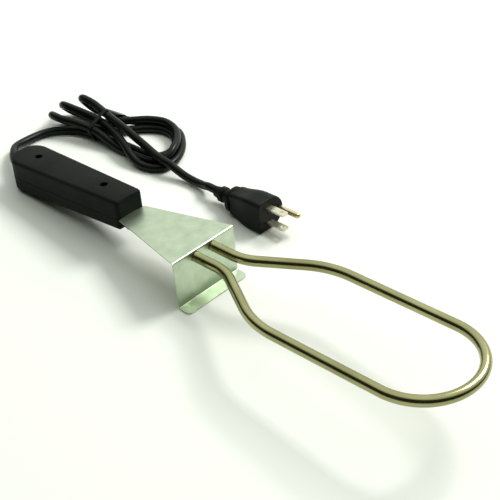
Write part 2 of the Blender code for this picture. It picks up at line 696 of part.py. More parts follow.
def core_exit(degrees):
    """Where a conductor leaves the jacket, and a point straight ahead of it."""
    angle = math.radians(degrees)
    leave = JACKET_FACE + Vector((GAP, CORE_SPREAD * math.cos(angle), CORE_SPREAD * math.sin(angle)))
    return leave + Vector((0.0025, 0, 0)), leave


left_wire_start = make_cold_end(1, "left", WHITE_WIRE)
right_wire_start = make_cold_end(-1, "right", BLACK_WIRE)


def between_screws(share):
    """X at a share of the way from the front handle screw to the rear one."""
    return -(FRONT_SCREW + (REAR_SCREW - FRONT_SCREW) * share)


def wire(name, start, side, material):
    """A conductor from a crimp back along the handle's side to the end of the cord's jacket."""
    lane = BOSS / 2 + WIRE / 2 + 0.0016
    ahead, leave = core_exit(-30 if side > 0 else 210)
    route = [start + Vector((-0.0030, 0, 0)), (between_screws(0.282), side * 0.0078, -0.0030),
             (between_screws(0.519), side * 0.0064, -0.0012), (between_screws(0.756), side * 0.0074, 0.0),
             (-REAR_SCREW + 0.004, side * lane, 0.0004), (-REAR_SCREW - 0.002, side * (lane - 0.0004), 0.0004),
             ahead]
    tube(name, [start] + smooth_route(route, 0.0040) + [leave], WIRE, material, tool, 2)


wire("wire_neutral", left_wire_start, 1, WHITE_WIRE)
wire("wire_live", right_wire_start, -1, BLACK_WIRE)


def make_earth():
    """Ring terminal, screw and nut on the tongue, and the earth wire back to the cord."""
    ring_low = GAP
    ring_high = ring_low + RING_THICKNESS
    bm = bmesh.new()
    put_round(bm, (-EARTH_SCREW, 0, ring_low), (-EARTH_SCREW, 0, ring_high), RING_OUTER / 2, 24)
    ring = add_mesh("earth_ring", bm, TINNED_BRASS, tool)
    tail = boxes_cutter("join_ring_tail", [((-EARTH_SCREW - 0.0056, -0.0013, ring_low),
                                            (-EARTH_SCREW - 0.0015, 0.0013, ring_high))], tool)
    boolean(ring, tail, "UNION")
    barrel_x = -EARTH_SCREW - 0.0052
    barrel_z = ring_low + 0.0017
    barrel = rounds_cutter("join_ring_barrel", [((barrel_x, 0, barrel_z), (barrel_x - 0.0040, 0, barrel_z),
                                                 0.0017)], tool, 20)
    boolean(ring, barrel, "UNION")
    socket = rounds_cutter("cut_ring_socket", [((barrel_x - 0.0010, 0, barrel_z + 0.0001),
                                                (barrel_x - 0.0060, 0, barrel_z + 0.0001), 0.0010)], tool, 16)
    boolean(ring, socket, "DIFFERENCE")
    hole = rounds_cutter("cut_ring_hole", [((-EARTH_SCREW, 0, -0.001), (-EARTH_SCREW, 0, 0.004),
                                            SCREW_SHANK / 2 + GAP)], tool)
    boolean(ring, hole, "DIFFERENCE")
    head_top = ring_high + GAP + SCREW_HEAD_HEIGHT
    screw_body("earth_screw", (-EARTH_SCREW, 0, head_top), EARTH_SCREW_LENGTH - GAP, tool)
    hexagon("earth_nut", (-EARTH_SCREW, 0, -SHEET - GAP - NUT_HEIGHT), NUT_FLATS, NUT_HEIGHT,
            SCREW_SHANK / 2 + GAP, ZINC_STEEL, tool)
    start = Vector((barrel_x - 0.0040 - GAP, 0, barrel_z + 0.0003))
    ahead, leave = core_exit(90)
    side = BOSS / 2 + WIRE / 2 + 0.0012
    route = [start + Vector((-0.0015, 0, 0)), (-FRONT_SCREW + 0.0052, -0.0026, 0.0026),
             (-FRONT_SCREW + 0.0032, -0.0052, 0.0032), (-FRONT_SCREW, -side, 0.0040),
             (-FRONT_SCREW - 0.005, -side * 0.85, 0.0050), (between_screws(0.308), -0.0010, 0.0052),
             (between_screws(0.64), 0.0014, 0.0050),
             (-REAR_SCREW + 0.004, side + 0.0002, 0.0052), (-REAR_SCREW - 0.002, side - 0.0004, 0.0050),
             ahead]
    tube("wire_earth", [start] + smooth_route(route, 0.0040) + [leave], WIRE, GREEN_WIRE, tool, 2)


make_earth()


# ---------------------------------------------------------------- cord inside the handle and bushing
def make_bushing():
    """Flanged grommet gripped by both halves, and the jacket's end that it holds."""
    rear_inner = HANDLE_LENGTH - HANDLE_WALL
    bore = CORD / 2 + GAP
    neck, flange = BUSHING_NECK / 2, BUSHING_FLANGE / 2
    start = -(rear_inner - BUSHING_INSIDE)
    inside = BUSHING_INSIDE - BUSHING_FLANGE_LENGTH - GAP
    through = BUSHING_INSIDE + HANDLE_WALL
    profile = [(0.0, bore), (0.0, neck - 0.0004), (inside, neck - 0.0004), (inside, flange),
               (BUSHING_INSIDE - GAP, flange), (BUSHING_INSIDE - GAP, neck), (through + 0.0006, neck),
               (through + 0.0006, bore)]
    turned("cord_bushing", profile, CORD_JACKET, tool, (start, 0, PARTING), (-1, 0, 0), 28)
    jacket_end = -(HANDLE_LENGTH + 0.0006)
    jacket = [(0.0, 0.0), (0.0, CORD / 2), (-jacket_end - JACKET_END, CORD / 2), (-jacket_end - JACKET_END, 0.0)]
    turned("cord_inner_end", jacket, CORD_JACKET, tool, JACKET_FACE, (-1, 0, 0), 20)


make_bushing()

# ---------------------------------------------------------------- cord outside the handle
# The cord's visible way, as centreline points on the resting surface or on the cord below it.
TAIL_ROUTE = [(-0.2180, 0.0006, 0.0096), (-0.2228, 0.0022, 0.0093), (-0.2280, 0.0050, 0.0088),
              (-0.2345, 0.0092, 0.0080), (-0.2391, 0.0130, 0.0072), (-0.2428, 0.0180, 0.0063),
              (-0.2450, 0.0245, 0.0052), (-0.2465, 0.0360, 0.0040), (-0.2462, 0.0460, 0.0035),
              (-0.2435, 0.0550, 0.0034), (-0.2398, 0.0605, 0.0034)]
TAIL_MEETS_HANK = (-0.2334, 0.0672, 0.0034)
LEAD_LEAVES_HANK = (-0.1262, 0.0820, 0.0090)
LEAD_ROUTE = [(-0.1196, 0.0825, 0.0068), (-0.1128, 0.0834, 0.0045), (-0.1030, 0.0840, 0.0040),
              (-0.0940, 0.0836, 0.0054), (-0.0870, 0.0822, 0.0070)]
LEAD_EDGE = [(-0.1266, 0.0762), (-0.1258, 0.0878)]
HANK_OUTLINE = [(-0.2300, 0.0636), (-0.2180, 0.0690), (-0.2040, 0.0730), (-0.1850, 0.0738),
                (-0.1650, 0.0700), (-0.1480, 0.0690), (-0.1360, 0.0716), *LEAD_EDGE,
                (-0.1312, 0.0950),
                (-0.1372, 0.1060), (-0.1484, 0.1180), (-0.1620, 0.1252), (-0.1765, 0.1308),
                (-0.1904, 0.1297), (-0.2020, 0.1243), (-0.2120, 0.1150), (-0.2210, 0.1060),
                (-0.2340, 0.1030), (-0.2480, 0.1010), (-0.2570, 0.0960), (-0.2625, 0.0880),
                (-0.2625, 0.0780), (-0.2590, 0.0700), (-0.2520, 0.0660), (-0.2440, 0.0668),
                (-0.2368, 0.0708)]


def tool_point(x, y, z):
    """A place in the tool's frame, in the common frame."""
    return Vector((x * UP.z - z * UP.x - MIDDLE, y, x * UP.x + z * UP.z - SURFACE))


CORD_EXIT = tool_point(-(HANDLE_LENGTH + 0.0006 + GAP), 0, PARTING)
EXIT_DIRECTION = Vector((-UP.z, 0, -UP.x))
NOTCH = Vector((*HANK_OUTLINE[0], 0)) - Vector((*HANK_OUTLINE[-1], 0))
TAIL_DIRECTION = Vector((-NOTCH.y, NOTCH.x, 0)).normalized()
TAIL_END = Vector(TAIL_MEETS_HANK) - TAIL_DIRECTION * GAP
TAIL = [CORD_EXIT] + smooth_route([CORD_EXIT + EXIT_DIRECTION * 0.003] + [Vector(p) for p in TAIL_ROUTE]
                                  + [TAIL_END - TAIL_DIRECTION * 0.003], 0.0045) + [TAIL_END]


def split_route(route, length):
    """The route's first part of the stated length, and the rest of it."""
    walked = 0.0
    for index, (p, q) in enumerate(zip(route, route[1:])):
        step = (q - p).length
        if walked + step >= length:
            cut = p.lerp(q, (length - walked) / step)
            ahead = (q - p).normalized()
            return route[:index + 1] + [cut - ahead * GAP / 2], [cut + ahead * GAP / 2] + route[index + 1:]
        walked += step
    return route, []


def thin_out(route, spacing):
    """The route with fewer points, its ends and end directions kept."""
    return [route[0]] + smooth_route(route[1:-1], spacing) + [route[-1]]


BOOT, REST = split_route(TAIL, BOOT_LENGTH)
boot_radii = [1 - (1 - BOOT_END / BUSHING_NECK) * i / (len(BOOT) - 1) for i in range(len(BOOT))]
tube("cord_boot", BOOT, BUSHING_NECK, CORD_JACKET, None, 3, boot_radii)
tube("cord_tail", thin_out(REST, 0.0140), CORD, CORD_JACKET, None, 3)


def make_hank():
    """The tied cord as one solid, with a shallow groove all round for the tie."""
    bm = bmesh.new()
    ring = bmesh.ops.create_circle(bm, cap_ends=True, segments=len(HANK_OUTLINE), radius=1)["verts"]
    for vert, (x, y) in zip(ring, HANK_OUTLINE):
        vert.co = (x, y, 0)
    raised = bmesh.ops.extrude_face_region(bm, geom=bm.faces[:])["geom"]
    for vert in (v for v in raised if isinstance(v, bmesh.types.BMVert)):
        vert.co.z = HANK_HEIGHT
    bmesh.ops.holes_fill(bm, edges=[e for e in bm.edges if e.is_boundary], sides=0)
    made = add_mesh("cord_hank", bm, CORD_JACKET, None)
    depth = TIE_THICKNESS + 2 * GAP
    half = TIE_WIDTH / 2 + GAP
    low, high = TIE_PLACE - half, TIE_PLACE + half
    front, back = TIE_SIDES[0] + depth, TIE_SIDES[1] - depth
    around = 0.010
    boolean(made, boxes_cutter("cut_tie_groove_under", [((low, 0.05, -around), (high, 0.15, depth))], None),
            "DIFFERENCE")
    boolean(made, boxes_cutter("cut_tie_groove_over", [((low, 0.05, HANK_HEIGHT - depth),
                                                        (high, 0.15, HANK_HEIGHT + around))], None),
            "DIFFERENCE")
    boolean(made, boxes_cutter("cut_tie_groove_front", [((low, front - 0.03, -around),
                                                         (high, front, HANK_HEIGHT + around))], None),
            "DIFFERENCE")
    boolean(made, boxes_cutter("cut_tie_groove_back", [((low, back, -around),
                                                        (high, back + 0.03, HANK_HEIGHT + around))], None),
            "DIFFERENCE")


def outline_span(x):
    """The hank outline's lowest and highest y at x."""
    found = []
    closed = HANK_OUTLINE + HANK_OUTLINE[:1]
    for (x0, y0), (x1, y1) in zip(closed, closed[1:]):
        if min(x0, x1) <= x < max(x0, x1):
            found.append(y0 + (y1 - y0) * (x - x0) / (x1 - x0))
    return min(found), max(found)


def tie_sides():
    """Sides of the tie's groove, clear of the outline over the tie's whole width."""
    spans = [outline_span(TIE_PLACE + side * TIE_WIDTH / 2) for side in (-1, 1)]
    return max(s[0] for s in spans), min(s[1] for s in spans)


TIE_SIDES = tie_sides()
make_hank()


def make_tie():
    """A flat band closed round the hank, with its twisted ends pressed together on top."""
    front, back = TIE_SIDES[0] + GAP, TIE_SIDES[1] - GAP
    low, high = GAP, HANK_HEIGHT - GAP
    bm = bmesh.new()
    put_box(bm, (TIE_PLACE - TIE_WIDTH / 2, front, low), (TIE_PLACE + TIE_WIDTH / 2, back, high))
    band = add_mesh("cord_tie", bm, CORD_JACKET, None)
    inner = boxes_cutter("cut_tie_inside", [((TIE_PLACE - TIE_WIDTH, front + TIE_THICKNESS, low + TIE_THICKNESS),
                                             (TIE_PLACE + TIE_WIDTH, back - TIE_THICKNESS,
                                              high - TIE_THICKNESS))], None)
    boolean(band, inner, "DIFFERENCE")


make_tie()


# ---------------------------------------------------------------- plug
def plug_pitch():
    """The plug rests on its front block's lower edge and on the strain relief's flange."""
    reach = PLUG_LENGTH + GAP + RELIEF_FLANGE_LENGTH / 2 - PLUG_EDGE
    return math.atan((PLUG_HALF_HEIGHT - RELIEF_FLANGE / 2) / reach)


PLUG_PITCH = plug_pitch()
PLUG_CLEAR = 0.0002
PLUG_HEIGHT = PLUG_HALF_HEIGHT * math.cos(PLUG_PITCH) + PLUG_CLEAR
plug = empty("plug", (*PLUG_FACE, PLUG_HEIGHT), (0, -PLUG_PITCH, 0))


def plug_section(half_height, flat_side, edge):
    """Outline across the plug: flat with two rounded corners on one side, round on the other."""
    points = []
    for step in range(5):
        angle = math.pi + math.pi / 2 * step / 4
        points.append((-flat_side + edge + edge * math.cos(angle), -half_height + edge + edge * math.sin(angle)))
    for step in range(15):
        angle = -math.pi / 2 + math.pi * step / 14
        points.append((PLUG_ROUND_OFFSET + half_height * math.cos(angle), half_height * math.sin(angle)))
    for step in range(5):
        angle = math.pi / 2 + math.pi / 2 * step / 4
        points.append((-flat_side + edge + edge * math.cos(angle), half_height - edge + edge * math.sin(angle)))
    return points


def loft(name, sections, material, parent, smooth_angle=35):
    """A closed skin through sections, each a place along X and its outline across."""
    count = len(sections[0][1])
    bm = bmesh.new()
    bmesh.ops.create_grid(bm, x_segments=len(sections) - 1, y_segments=count, size=1)
    for vert in bm.verts:
        x, outline = sections[round((vert.co.x + 1) / 2 * (len(sections) - 1))]
        y, z = outline[round((vert.co.y + 1) / 2 * count) % count]
        vert.co = (x, y, z)
    bmesh.ops.remove_doubles(bm, verts=bm.verts, dist=0.0000001)
    bmesh.ops.holes_fill(bm, edges=[e for e in bm.edges if e.is_boundary], sides=0)
    return add_mesh(name, bm, material, parent, smooth_angle)


def make_plug_body():
    lip = 0.0009
    stations = [(0.0, PLUG_HALF_HEIGHT - lip, PLUG_FLAT_SIDE - lip),
                (-lip * 0.3, PLUG_HALF_HEIGHT - lip * 0.3, PLUG_FLAT_SIDE - lip * 0.3),
                (-lip, PLUG_HALF_HEIGHT, PLUG_FLAT_SIDE)]
    stations.append((-PLUG_BLOCK, PLUG_HALF_HEIGHT, PLUG_FLAT_SIDE))
    for step in range(1, 7):
        share = step / 6
        ease = share * share * (3 - 2 * share)
        stations.append((-PLUG_BLOCK - (PLUG_LENGTH - PLUG_BLOCK) * share,
                         PLUG_HALF_HEIGHT + (PLUG_WAIST_HALF_HEIGHT - PLUG_HALF_HEIGHT) * ease,
                         PLUG_FLAT_SIDE + (PLUG_WAIST_FLAT_SIDE - PLUG_FLAT_SIDE) * ease))
    sections = [(x, plug_section(h, f, PLUG_EDGE)) for x, h, f in stations]
    body = loft("plug_body", sections, PLUG_PLASTIC, plug)
    room_y, room_z = BLADE_WIDTH / 2 + GAP, BLADE_THICKNESS / 2 + GAP
    deep = BLADE_ROOT + GAP
    slots = [((-deep, -room_y, s * BLADE_SPACING / 2 - room_z), (0.005, room_y, s * BLADE_SPACING / 2 + room_z))
             for s in (-1, 1)]
    boolean(body, boxes_cutter("cut_blade_slots", slots, plug), "DIFFERENCE")
    socket = [((-deep, GROUND_OFFSET, 0), (0.005, GROUND_OFFSET, 0), GROUND_PIN / 2 + GAP)]
    boolean(body, rounds_cutter("cut_ground_socket", socket, plug), "DIFFERENCE")


make_plug_body()


def make_blade(label, side):
    """A flat blade with chamfered tip corners and a hole near its tip."""
    z = side * BLADE_SPACING / 2
    bm = bmesh.new()
    put_box(bm, (-BLADE_ROOT, -BLADE_WIDTH / 2, z - BLADE_THICKNESS / 2),
            (BLADE_LENGTH, BLADE_WIDTH / 2, z + BLADE_THICKNESS / 2))
    corners = [e for e in bm.edges if all(v.co.x > 0 for v in e.verts)
               and abs(e.verts[0].co.y - e.verts[1].co.y) < 1e-7]
    bevel(bm, corners, 0.0013, 2)
    blade = add_mesh(f"plug_blade_{label}", bm, TINNED_BRASS, plug)
    lift = 0.004
    hole = [((BLADE_HOLE_PLACE, 0, z - lift), (BLADE_HOLE_PLACE, 0, z + lift), BLADE_HOLE / 2)]
    boolean(blade, rounds_cutter(f"cut_blade_{label}", hole, plug), "DIFFERENCE")


make_blade("upper", 1)
make_blade("lower", -1)

pin_radius = GROUND_PIN / 2
pin_profile = [(0.0, 0.0)]
for angle in (15, 35, 55, 75, 90):
    turn = math.radians(angle)
    pin_profile.append((pin_radius * (1 - math.cos(turn)), pin_radius * math.sin(turn)))
pin_profile += [(GROUND_LENGTH + BLADE_ROOT, pin_radius), (GROUND_LENGTH + BLADE_ROOT, 0.0)]
turned("plug_ground_pin", pin_profile, TINNED_BRASS, plug, (GROUND_LENGTH, GROUND_OFFSET, 0), (-1, 0, 0), 20)


def make_relief():
    """Flange, grooved neck and end ring behind the plug's body."""
    start = -(PLUG_LENGTH + GAP)
    flange, ring = RELIEF_FLANGE / 2, RELIEF_RING / 2
    neck = CORD / 2 + 0.0021
    profile = [(0.0, 0.0), (0.0, flange - 0.0006), (0.0006, flange), (RELIEF_FLANGE_LENGTH - 0.0006, flange),
               (RELIEF_FLANGE_LENGTH, flange - 0.0006), (RELIEF_FLANGE_LENGTH, neck + 0.0016),
               (0.0062, neck + 0.0006), (0.0110, neck)]
    profile += [(0.0112, ring - 0.0004), (0.0118, ring), (0.0150, ring), (0.0156, ring - 0.0004),
                (0.0158, neck - 0.0002), (RELIEF_LENGTH - 0.0005, CORD / 2 + 0.0009),
                (RELIEF_LENGTH, CORD / 2 + 0.0005), (RELIEF_LENGTH, 0.0)]
    turned("plug_strain_relief", profile, PLUG_PLASTIC, plug, (start, 0, 0), (-1, 0, 0), 32)


make_relief()


def plug_point(x):
    """A place on the plug's axis, in the common frame."""
    return Vector((PLUG_FACE[0] + x * math.cos(PLUG_PITCH), PLUG_FACE[1], PLUG_HEIGHT + x * math.sin(PLUG_PITCH)))


LEAD_END = plug_point(-(PLUG_LENGTH + RELIEF_LENGTH + 2 * GAP))
LEAD_NEAR = plug_point(-(PLUG_LENGTH + RELIEF_LENGTH + 2 * GAP) - 0.004)
edge = Vector((*LEAD_EDGE[1], 0)) - Vector((*LEAD_EDGE[0], 0))
lead_direction = Vector((edge.y, -edge.x, 0)).normalized()
lead_start = Vector(LEAD_LEAVES_HANK) + lead_direction * GAP
lead = [lead_start] + smooth_route([lead_start + lead_direction * 0.003] + [Vector(p) for p in LEAD_ROUTE]
                                   + [LEAD_NEAR], 0.0100) + [LEAD_END]
tube("cord_lead", lead, CORD, CORD_JACKET, None, 3)
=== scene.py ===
"""Looks of the electric hot-loop tool: cord, sleeve, tie, materials, light and camera.

Everything is in metres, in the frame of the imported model: the tool lies along X, handle at -X
and loop at +X, on the surface z = 0.
"""
import math

import bmesh
import bpy
from mathutils import Matrix, Vector


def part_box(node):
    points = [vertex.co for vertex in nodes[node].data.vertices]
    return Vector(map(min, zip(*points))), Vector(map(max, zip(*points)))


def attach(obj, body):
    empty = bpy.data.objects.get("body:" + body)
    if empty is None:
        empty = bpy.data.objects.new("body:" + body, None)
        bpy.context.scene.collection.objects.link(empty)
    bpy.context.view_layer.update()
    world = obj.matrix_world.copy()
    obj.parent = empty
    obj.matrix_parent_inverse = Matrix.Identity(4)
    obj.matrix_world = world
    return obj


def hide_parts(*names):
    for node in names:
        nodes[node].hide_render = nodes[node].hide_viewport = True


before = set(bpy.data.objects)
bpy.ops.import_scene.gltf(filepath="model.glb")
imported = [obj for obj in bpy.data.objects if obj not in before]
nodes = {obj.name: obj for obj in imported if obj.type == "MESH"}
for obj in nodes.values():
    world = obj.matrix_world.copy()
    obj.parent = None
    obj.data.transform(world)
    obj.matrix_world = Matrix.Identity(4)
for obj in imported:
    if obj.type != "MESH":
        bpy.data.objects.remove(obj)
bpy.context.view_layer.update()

MM = 0.001

# ---------------------------------------------------------------- camera
CAMERA_PLACE = (0.44812, -0.46370, 0.54258)
CAMERA_RIGHT = (0.73848, 0.67422, 0.00866)
CAMERA_UP = (-0.42002, 0.44993, 0.78813)
SENSOR_MM = 36.0
LENS_MM = 86.4


def make_camera():
    data = bpy.data.cameras.new("camera")
    data.sensor_width = SENSOR_MM
    data.lens = LENS_MM
    data.clip_start = 0.01
    data.clip_end = 50.0
    camera = bpy.data.objects.new("camera", data)
    bpy.context.scene.collection.objects.link(camera)
    right, up = Vector(CAMERA_RIGHT).normalized(), Vector(CAMERA_UP).normalized()
    back = right.cross(up)
    turn = Matrix((right, up, back)).transposed().to_4x4()
    camera.matrix_world = Matrix.Translation(Vector(CAMERA_PLACE)) @ turn
    bpy.context.scene.camera = camera


make_camera()


# ---------------------------------------------------------------- helpers
def add_object(name, data, material):
    made = bpy.data.objects.new(name, data)
    bpy.context.scene.collection.objects.link(made)
    data.materials.append(material)
    return made


def smooth_route(points, spacing):
    """Evenly spaced points on the smooth curve through the route's own points."""
    knots = [Vector(p) for p in points]
    padded = [2 * knots[0] - knots[1]] + knots + [2 * knots[-1] - knots[-2]]
    fine = []
    for a, b, c, d in zip(padded, padded[1:], padded[2:], padded[3:]):
        for step in range(16):
            t = step / 16
            fine.append(0.5 * (2 * b + (c - a) * t + (2 * a - 5 * b + 4 * c - d) * t * t
                               + (3 * b - a - 3 * c + d) * t ** 3))
    fine.append(knots[-1])
    total = sum((q - p).length for p, q in zip(fine, fine[1:]))
    count = max(2, round(total / spacing))
    route, walked, target = [fine[0]], 0.0, total / count
    for p, q in zip(fine, fine[1:]):
        length = (q - p).length
        while walked + length >= target - 1e-9 and len(route) < count:
            route.append(p.lerp(q, (target - walked) / length))
            target += total / count
        walked += length
    route.append(fine[-1])
    return route


def rings_along(route, radii, segments=24, closed=True):
    """A mesh swept along a route, with a radius at each of its points and filled ends if closed."""
    bm = bmesh.new()
    side = None
    rings = []
    for index, place in enumerate(route):
        before = route[max(index - 1, 0)]
        after = route[min(index + 1, len(route) - 1)]
        along = (after - before).normalized()
        if side is None:
            side = along.orthogonal().normalized()
        side = (side - along * side.dot(along)).normalized()
        other = along.cross(side)
        ring = []
        for step in range(segments):
            angle = 2 * math.pi * step / segments
            outward = side * math.cos(angle) + other * math.sin(angle)
            ring.append(bm.verts.new(place + outward * radii[index]))
        rings.append(ring)
    for low, high in zip(rings, rings[1:]):
        for step in range(segments):
            after = (step + 1) % segments
            bm.faces.new((low[step], low[after], high[after], high[step]))
    if closed:
        bm.faces.new(rings[0])
        bm.faces.new(rings[-1])
    bmesh.ops.recalc_face_normals(bm, faces=bm.faces)
    mesh = bpy.data.meshes.new("swept")
    bm.to_mesh(mesh)
    bm.free()
    mesh.shade_smooth()
    mesh.set_sharp_from_angle(angle=math.radians(50))
    return mesh


# ---------------------------------------------------------------- materials
class Surface:
    """A Principled material and the nodes that vary it."""

    def __init__(self, name, colour, roughness, metallic=0.0, specular=0.5):
        self.material = bpy.data.materials.new(name)
        self.material.use_nodes = True
        self.tree = self.material.node_tree
        self.shader = self.tree.nodes["Principled BSDF"]
        self.shader.inputs["Base Color"].default_value = (*colour, 1.0)
        self.shader.inputs["Roughness"].default_value = roughness
        self.shader.inputs["Metallic"].default_value = metallic
        self.shader.inputs["Specular IOR Level"].default_value = specular
        self.place = self.node("ShaderNodeTexCoord").outputs["Object"]

    def node(self, kind, **values):
        made = self.tree.nodes.new(kind)
        for key, value in values.items():
            setattr(made, key, value)
        return made

    def link(self, start, end):
        self.tree.links.new(start, end)

    def noise(self, scale, detail=4.0, stretch=None, rough=0.5):
        made = self.node("ShaderNodeTexNoise")
        made.inputs["Scale"].default_value = scale
        made.inputs["Detail"].default_value = detail
        made.inputs["Roughness"].default_value = rough
        place = self.place
        if stretch:
            mapping = self.node("ShaderNodeMapping")
            mapping.inputs["Scale"].default_value = stretch
            self.link(place, mapping.inputs["Vector"])
            place = mapping.outputs["Vector"]
        self.link(place, made.inputs["Vector"])
        return made.outputs["Fac"]

    def blend(self, value, low, high, start=0.35, end=0.65):
        """Maps a texture's value to a colour between two."""
        ramp = self.node("ShaderNodeValToRGB")
        ramp.color_ramp.elements[0].position = start
        ramp.color_ramp.elements[1].position = end
        ramp.color_ramp.elements[0].color = (*low, 1.0)
        ramp.color_ramp.elements[1].color = (*high, 1.0)
        self.link(value, ramp.inputs["Fac"])
        return ramp.outputs["Color"]

    def spread(self, value, low, high):
        made = self.node("ShaderNodeMapRange")
        made.inputs["To Min"].default_value = low
        made.inputs["To Max"].default_value = high
        self.link(value, made.inputs["Value"])
        return made.outputs["Result"]

    def colour(self, output):
        self.link(output, self.shader.inputs["Base Color"])

    def roughness(self, output):
        self.link(output, self.shader.inputs["Roughness"])

    def bump(self, value, strength, distance):
        made = self.node("ShaderNodeBump")
        made.inputs["Strength"].default_value = strength
        made.inputs["Distance"].default_value = distance
        self.link(value, made.inputs["Height"])
        socket = self.shader.inputs["Normal"]
        if socket.links:
            self.link(socket.links[0].from_socket, made.inputs["Normal"])
        self.link(made.outputs["Normal"], socket)


def plastic(name, dark, light, roughness, grain):
    """Moulded plastic: fine pebble grain and a little handling sheen."""
    made = Surface(name, dark, roughness, specular=0.10)
    made.colour(made.blend(made.noise(38.0, 5.0), dark, light))
    made.roughness(made.spread(made.noise(60.0, 6.0), roughness - 0.09, roughness + 0.10))
    made.bump(made.noise(2600.0, 2.0), 0.35, grain)
    made.bump(made.noise(140.0, 3.0), 0.10, grain * 3)
    return made.material


def sheet_metal(name):
    """Galvanised sheet: faint crystal patches, rolling streaks and fine scratches."""
    made = Surface(name, (0.50, 0.58, 0.44), 0.36, metallic=1.0, specular=0.5)
    patch = made.blend(made.noise(120.0, 6.0), (0.45, 0.535, 0.40), (0.56, 0.645, 0.50), 0.30, 0.70)
    made.colour(patch)
    made.roughness(made.spread(made.noise(95.0, 6.0), 0.28, 0.44))
    made.bump(made.noise(900.0, 3.0, stretch=(0.06, 1.0, 1.0)), 0.12, 0.00004)
    made.bump(made.noise(70.0, 3.0), 0.10, 0.0002)
    return made.material


def heat_tinted(name):
    """Nickel-steel sheath: olive to straw tint from heat, drawn along its length."""
    made = Surface(name, (0.33, 0.32, 0.16), 0.18, metallic=1.0)
    tint = made.blend(made.noise(24.0, 5.0), (0.27, 0.262, 0.125), (0.40, 0.385, 0.205), 0.30, 0.70)
    made.colour(tint)
    made.roughness(made.spread(made.noise(260.0, 5.0), 0.14, 0.22))
    made.bump(made.noise(1400.0, 3.0), 0.10, 0.00003)
    return made.material


def plated(name, low, high, roughness):
    """Plated metal with light handling marks."""
    made = Surface(name, low, roughness, metallic=1.0)
    made.colour(made.blend(made.noise(180.0, 5.0), low, high, 0.3, 0.7))
    made.roughness(made.spread(made.noise(700.0, 4.0), roughness - 0.08, roughness + 0.14))
    made.bump(made.noise(2200.0, 3.0, stretch=(0.1, 1.0, 1.0)), 0.15, 0.00002)
    return made.material


def jacket(name, dark, light, roughness):
    """Flexible vinyl: nearly smooth, with slow waviness and dust."""
    made = Surface(name, dark, roughness, specular=0.16)
    made.colour(made.blend(made.noise(55.0, 5.0), dark, light))
    made.roughness(made.spread(made.noise(160.0, 5.0), roughness - 0.06, roughness + 0.10))
    made.bump(made.noise(420.0, 4.0), 0.22, 0.00008)
    return made.material


def powder(name, low, high):
    made = Surface(name, low, 0.9)
    made.colour(made.blend(made.noise(900.0, 6.0), low, high))
    made.bump(made.noise(3000.0, 4.0), 0.5, 0.00008)
    return made.material


HANDLE_BLACK = plastic("handle_black", (0.0045, 0.0060, 0.0048), (0.0075, 0.0095, 0.0078), 0.55, 0.00006)
PLUG_BLACK = plastic("plug_black", (0.0040, 0.0055, 0.0046), (0.0070, 0.0088, 0.0074), 0.48, 0.00004)
CORD_BLACK = jacket("cord_black", (0.0035, 0.0046, 0.0038), (0.0060, 0.0075, 0.0062), 0.30)
GALVANISED = sheet_metal("galvanised")
SHEATH_FINISH = heat_tinted("sheath_nickel_steel")
BLADE_PLATE = plated("blade_plate", (0.62, 0.58, 0.44), (0.74, 0.70, 0.56), 0.26)
PIN_BRASS = plated("pin_brass", (0.66, 0.56, 0.33), (0.78, 0.68, 0.44), 0.24)
ZINC = plated("zinc_plate", (0.50, 0.52, 0.53), (0.62, 0.64, 0.65), 0.34)
OXIDE = powder("packed_oxide", (0.70, 0.69, 0.65), (0.80, 0.79, 0.75))
SILICONE = jacket("silicone", (0.26, 0.07, 0.04), (0.33, 0.10, 0.06), 0.55)
WHITE_PVC = jacket("white_pvc", (0.74, 0.74, 0.71), (0.82, 0.82, 0.79), 0.45)
BLACK_PVC = jacket("black_pvc", (0.016, 0.016, 0.016), (0.028, 0.028, 0.028), 0.45)
GREEN_PVC = jacket("green_pvc", (0.02, 0.24, 0.06), (0.04, 0.33, 0.10), 0.45)

FINISHES = {
    "handle_top_shell": HANDLE_BLACK,
    "handle_bottom_shell": HANDLE_BLACK,
    "heat_shield": GALVANISED,
    "element_clamp": GALVANISED,
    "heating_element": SHEATH_FINISH,
    "element_core": OXIDE,
    "end_seal_left": SILICONE,
    "end_seal_right": SILICONE,
    "wire_neutral": WHITE_PVC,
    "wire_live": BLACK_PVC,
    "wire_earth": GREEN_PVC,
    "cord_bushing": CORD_BLACK,
    "cord_inner_end": CORD_BLACK,
    "plug_body": PLUG_BLACK,
    "plug_strain_relief": PLUG_BLACK,
    "plug_blade_upper": BLADE_PLATE,
    "plug_blade_lower": BLADE_PLATE,
    "plug_ground_pin": PIN_BRASS,
    "terminal_pin_left": BLADE_PLATE,
    "terminal_pin_right": BLADE_PLATE,
    "crimp_left": BLADE_PLATE,
    "crimp_right": BLADE_PLATE,
    "earth_ring": BLADE_PLATE,
}


for name, node in nodes.items():
    finish = FINISHES.get(name, ZINC)
    node.data.materials.clear()
    node.data.materials.append(finish)

# ---------------------------------------------------------------- cord
CORD = 6.6 * MM
CORD_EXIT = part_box("cord_bushing")[0]
TAIL = [(-218.0, 0.6, 9.6), (-222.8, 2.2, 9.3), (-228.0, 5.0, 8.8), (-234.5, 9.2, 8.0), (-239.1, 13.0, 7.2),
        (-242.8, 18.0, 6.3), (-245.0, 24.5, 5.2), (-246.5, 36.0, 4.0), (-246.2, 46.0, 3.5),
        (-243.5, 55.0, 3.4), (-239.8, 60.5, 3.4), (-233.4, 67.2, 3.4)]
